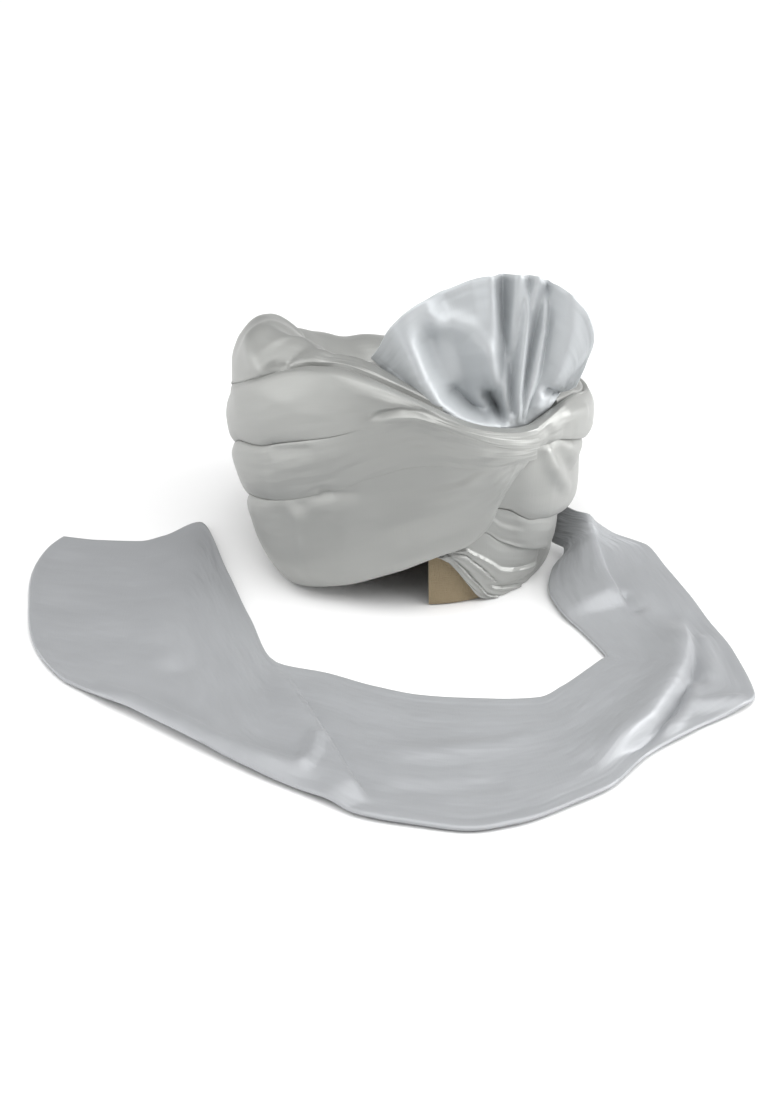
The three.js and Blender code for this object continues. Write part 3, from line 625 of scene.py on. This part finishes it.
def crown_ring(r, under):
    scale = (r * 0.972 if under else reach * r)
    angle = np.radians(bearings)
    if under:
        z = CAP_STRAIGHT + CAP_DOME * np.sqrt(max(0.0, 1 - scale * scale)) + 1.2 + 0 * angle
    else:
        lean = np.radians(bearings + 60 * (1 - r) + 7 * np.sin(np.radians(bearings) * 3 + 4 * r))
        deep = 1.5 + 0.6 * np.sin(lean * 5 + 1) * (1 - r) + 0.5 * np.sin(lean * 2)
        pleat = deep * (np.abs(np.sin(lean * 9)) - 0.6) + 0.9 * np.sin(lean * 4 + 1.0)
        z = mix(CROWN_HEIGHT, rim_z, r * r) + pleat * smooth(r / 0.25) * smooth((1 - r) / 0.08)
    return placed(CAP_HALF_WIDTH * scale * np.sin(angle),
                  CAP_SHIFT - CAP_HALF_DEPTH * scale * np.cos(angle), z)


rings = [crown_ring(r, False) for r in np.linspace(0.02, 1, 40)]
rings += [crown_ring(r, True) for r in np.linspace(1, 0.02, 24)]
crown = sewn("crown_cloth", np.array(rings), "hub")
crown.data.materials.append(white_satin)
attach(crown, "root")
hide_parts("crown_cover")

# Fan
# The stiffened end of the cloth, pleated at its foot, tucked in behind the upper wrap's lip at the pinch,
# and spread upright. Its rim is hemmed.
FAN = [
    (3, -36, -62, 153), (6, -31, -69, 163), (9, -25, -80, 179), (12, -15, -87, 192), (17, -4, -83, 198),
    (21, 9, -72, 201), (25, 24, -75, 208), (27.5, 36, -82, 213), (29.5, 45, -74, 211), (31, 52, -82, 214),
    (32.5, 58, -77, 212), (34, 64, -82, 213), (35.5, 70, -75, 208), (37, 75, -83, 208), (38.5, 87, -86, 201),
    (40.5, 96, -85, 189), (43, 100, -81, 173), (46, 97, -77, 157), (49.5, 91, -77, 139),
]  # bearing of the foot, then x, y and z of the rim, one row a pleat
FAN_FOLDS = [
    (6, 3.0, [(-92, 62), (-80, 30), (-60, 2)]),
    (10, 4.5, [(-80, 66), (-69, 48), (-61, 31), (-49, 16), (-36, 5), (-25, -2)]),
    (-13, 4.0, [(-56, 54), (-49, 37), (-37, 20), (-25, 7), (-16, -1)]),
    (4, 6.0, [(-74, 84), (-52, 82), (-36, 80)]),
    (11, 5.5, [(-50, 68), (-29, 61), (-16, 42), (-10, 20), (-7, 6)]),
    (3, 2.5, [(-20, 98), (-17, 66), (-13, 50)]),
    (-8, 1.6, [(-13, 98), (-10.5, 61), (-6.5, 33), (-4, 8)]),
    (5, 1.4, [(-1, 98), (2, 70), (0.5, 47), (0, 21), (-0.5, 3)]),
    (-2, 1.4, [(4, 97), (6, 61), (3.5, 30), (1, 3)]),
    (3, 1.2, [(11.5, 96), (13, 61), (9, 36), (3, 6)]),
    (-5, 0.9, [(15.5, 94), (17, 70), (13, 32), (6.5, 15), (2.5, 0)]),
    (5, 4.0, [(27, 92), (30, 64), (24, 36), (12, 12)]),
    (1, 6.0, [(38, 78), (37, 49), (26, 26)]),
    (3, 5.0, [(44, 66), (43, 42), (32, 18)]),
    (-24, 1.0, [(-18, 18), (-14, 10), (-11, 2)]),
    (-22, 0.9, [(-40, 22), (-31, 13), (-22, 5)]),
    (-18, 0.8, [(18, 21), (23, 18), (29, 16)]),
]  # how far the cloth stands forward on the line, its softness, then its points, across and up the fan
FAN_MIDDLE = (56, -100, 121)  # the point from which the folds' places are counted
FAN_TILT = np.radians(14)
FAN_CLOTH, FAN_HEM = 1.2, 5.0


def sheet_rings(grid, thickness, border, hem):
    """Rings round a sheet of that thickness, whose edges are rounded over that border and hemmed."""
    rows, cols = grid.shape[:2]
    along = np.gradient(grid, axis=0)
    across = np.gradient(grid, axis=1)
    normal = np.cross(along, across)
    normal /= np.linalg.norm(normal, axis=2, keepdims=True)
    steps = np.linalg.norm(np.diff(grid, axis=1), axis=2)
    length = np.concatenate([np.zeros((rows, 1)), np.cumsum(steps, axis=1)], 1)
    steps = np.linalg.norm(np.diff(grid, axis=0), axis=2)
    walk = np.concatenate([np.zeros((1, cols)), np.cumsum(steps, axis=0)], 0)
    near = np.minimum(np.minimum(length, length[:, -1:] - length), np.minimum(walk, walk[-1:] - walk))
    share = np.clip(near / border, 0, 1)
    turned = 0.16 * smooth((hem - near) / 1.2 + 0.5) - 0.1 * np.exp(-((near - hem - 0.6) / 0.9) ** 2)
    half = ((thickness / 2 + turned) * np.sqrt(1 - (1 - share) ** 2) + 0.05)[..., None]
    return np.concatenate([grid + normal * half, (grid - normal * half)[:, ::-1]], axis=1)


table = [(i, *row) for i, row in enumerate(FAN)]
t = np.linspace(0, len(FAN) - 1, (len(FAN) - 1) * 14 + 1)
foot_bearing = column(table, t, 1)
top, edge, _ = lip((WAIST - foot_bearing + 360) % 360)
foot = np.stack(outside(foot_bearing, top - 3, edge - 3.5), axis=1)
rim = np.stack([column(table, t, k) for k in (2, 3, 4)], axis=1)
q = np.linspace(0, 1, 80)
grid = foot[:, None] + (rim - foot)[:, None] * q[None, :, None]
across, ahead, above = (grid[..., k] - FAN_MIDDLE[k] for k in (0, 1, 2))
up = ahead * np.sin(FAN_TILT) + above * np.cos(FAN_TILT)
pull = [1 / (distance(across, up, line)[0] ** 2 + soft ** 2) for _, soft, line in FAN_FOLDS]
swell = sum(height * weight for (height, _, _), weight in zip(FAN_FOLDS, pull)) / sum(pull)
swell = swell * smooth(q / 0.12)[None, :]
grid = grid + swell[..., None] * np.array([0.0, -np.cos(FAN_TILT), np.sin(FAN_TILT)])
rings = sheet_rings(grid, FAN_CLOTH, 0.8, FAN_HEM)
rings = placed(rings[..., 0], rings[..., 1], rings[..., 2])
# The fan is the same white satin as the wraps. Its lighter base colour is painted light: it stands in for the
# fan being lit through from behind.
fan_satin = satin("fan_satin", (0.56, 0.583, 0.598), 0.5, 0.3, 5.0)
fan = sewn("fan_cloth", rings, "flat")
fan.data.materials.append(fan_satin)
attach(fan, "root")
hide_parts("fan")

# Tail
# The long loose end, a doubled strip of satin that comes out low at the right side, falls to the floor
# and lies round the front to its open, hemmed end at the left.
TAIL = [
    (84.7, -29, 4, 89, -15.5, 27, 0), (92, -43, 2.5, 107, -31, 24, 2), (91, -52, 1.5, 127, -39, 14, 5),
    (82, -68, 1, 146, -40, 7, 6), (78, -90, 0.5, 158, -64, 2, 5), (83, -116, 0, 168, -97, 1, 4),
    (94, -139, 0, 177, -132, 0, 2), (103, -160, 0, 186, -166, 0, 2), (107, -172, 0, 191, -214, 0, 2),
    (102, -178, 0, 151, -252, 0, 3), (92, -190, 0, 122, -277, 0, 3), (78, -206, 0, 96, -310, 0, 2),
    (63, -218, 0, 75, -325, 0, 1), (40, -220, 0, 44, -343, 0, 1), (16, -219, 0, 18, -349, 0, 1),
    (-6, -216, 0, -10, -344, 0, 1), (-34, -206, 0, -39, -336, 0, 1), (-62, -191, 0, -61, -321, 0, 1),
    (-93, -179, 0, -94, -299, 0, 1), (-112, -125, 0, -115, -283, 0, 2), (-132, -59, 0, -136, -266, 0, 2),
    (-155, 8, 0, -158, -248, 0, 2), (-177, -12, 0, -175, -234, 0, 2), (-193, -21, 0, -190, -223, 0, 2),
    (-220, -19, 0, -203, -212, 0, 1), (-246, -13, 0, -217, -200, 0, 0),
]  # inner x, y, z, outer x, y, z, arch
TAIL_FOLDS = [
    (7, 3, 26, [(106, -24), (110, -54), (113, -81), (118, -103), (123, -118)]),
    (-2.5, 6, 6, [(122, -100), (128, -114), (134, -124)]),
    (10, 4, 15, [(157, -128), (155, -166), (151, -190), (144, -212), (126, -249), (109, -271), (90, -292)]),
    (-3, 4, 4, [(159, -175), (155, -204), (140, -236), (119, -268), (104, -284)]),
    (3.5, 3.5, 4, [(157, -200), (151, -226), (141, -248), (130, -262)]),
    (2.5, 7, 7, [(168, -148), (168, -177), (166, -206)]),
    (3.5, 5, 6, [(150, -231), (166, -227), (186, -222)]),
    (6, 1.6, 18, [(-93, -183), (-75, -231), (-60, -270), (-46, -307), (-36, -326)]),
    (3.5, 3, 6, [(-62, -263), (-66, -286), (-74, -300)]),
    (5.5, 8, 9, [(-201, -206), (-175, -226), (-151, -245), (-124, -267), (-96, -285), (-58, -305)]),
    (3, 12, 12, [(-171, -105), (-166, -150), (-150, -195)]),
    (1.6, 7, 9, [(-38, -279), (-1, -278), (35, -272), (66, -255)]),
    (-1.4, 8, 8, [(-28, -312), (5, -315), (45, -306)]),
]  # height, widths left and right of the line, points of the line
TAIL_CLOTH, TAIL_HEM, TAIL_BOW = 2.4, 8.0, 23
table = [(i, *row) for i, row in enumerate(TAIL)]
t = np.linspace(0, len(TAIL) - 1, (len(TAIL) - 1) * 12 + 1)[:, None]
v = np.linspace(0, 1, 91)[None, :]
ix, iy, iz, ox, oy, oz, arch = (column(table, t, k) for k in range(1, 8))
bow = TAIL_BOW * smooth((t - 22) / 3) * (1 - np.abs(2 * v - 1) ** 3)
x = mix(ix, ox, v) - bow
y = mix(iy, oy, v)
creases = [(h, a, b, [(px / MM_PER_DEGREE, py) for px, py in line]) for h, a, b, line in TAIL_FOLDS]
z = mix(iz, oz, v) + arch * 4 * v * (1 - v) + relief(x / MM_PER_DEGREE, y, creases) + TAIL_CLOTH / 2 + 0.3
z = z + 0.5 * (1 + ripple(x, y, 34.0, 1.3))
rings = sheet_rings(np.stack([x, y, z], axis=2), TAIL_CLOTH, 1.4, TAIL_HEM)
rings[..., 2] = np.maximum(rings[..., 2], 0.0)
# The tail is the same white satin as the wraps. Its slightly lighter, bluer base colour is painted light, set
# for how the tail is lit as it lies on the floor.
tail_satin = satin("tail_satin", (0.42, 0.431, 0.446), 0.5, 0.35, 9.0)
tail = sewn("tail_cloth", placed(rings[..., 0], rings[..., 1], rings[..., 2]), "flat")
tail.data.materials.append(tail_satin)
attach(tail, "root")
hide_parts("tail")

# Floor, light and camera
# A plain white floor under soft studio light from both sides, from above and on the floor behind, and the
# photograph's own angle: 28 degrees down, 1.3 metres away.
bpy.ops.object.select_all(action="DESELECT")
bpy.ops.mesh.primitive_plane_add(size=30.0, location=(0.0, 0.0, -0.0006))
floor = bpy.context.object
floor.name = "floor"
paper = bpy.data.materials.new("paper")
paper.use_nodes = True
sheet = paper.node_tree.nodes["Principled BSDF"].inputs
sheet["Base Color"].default_value = (0.93, 0.93, 0.93, 1.0)
sheet["Roughness"].default_value = 1.0
sheet["Specular IOR Level"].default_value = 0.0
floor.data.materials.append(paper)

world = bpy.data.worlds.new("studio")
bpy.context.scene.world = world
world.use_nodes = True
sky = world.node_tree.nodes["Background"].inputs
sky["Color"].default_value = (1.0, 1.0, 1.0, 1.0)
sky["Strength"].default_value = 0.27
for name, kind, place, power, spread in (
    ("window", "AREA", (1.5, -0.7, 1.4), 13.0, 1.5),
    ("door", "AREA", (1.8, 0.1, 0.5), 20.0, 1.0),
    ("low_side", "AREA", (-1.9, -0.9, 0.8), 18.0, 2.4),
    ("left_panel", "AREA", (-1.7, 0.15, 0.35), 7.0, 1.2),
    ("over_table", "AREA", (0.1, -0.2, 1.7), 5.0, 1.0),
    ("backdrop_lamp", "AREA", (0.0, 4.2, 2.6), 90.0, 3.0),
    ("ceiling", "SUN", (0.0, -0.3, 2.0), 1.7, np.radians(80)),
):
    lamp = bpy.data.lights.new(name, kind)
    lamp.energy = power
    if kind == "SUN":
        lamp.angle = spread
    else:
        lamp.size = spread
    holder = bpy.data.objects.new(name, lamp)
    holder.location = place
    target = Vector((0.0, 1.4 * max(place[1], 0), 0.08))
    holder.rotation_euler = (target - Vector(place)).to_track_quat("-Z", "Y").to_euler()
    bpy.context.scene.collection.objects.link(holder)

eye = bpy.data.cameras.new("eye")
eye.lens = 63.36
eye.sensor_width = 36.0
camera = bpy.data.objects.new("camera", eye)
camera.location = (0.010, -1.0752, 0.6134)
camera.rotation_euler = (np.radians(62.0), 0.0, 0.0)
bpy.context.scene.collection.objects.link(camera)
bpy.context.scene.camera = camera
bpy.context.scene.view_settings.view_transform = "Standard"
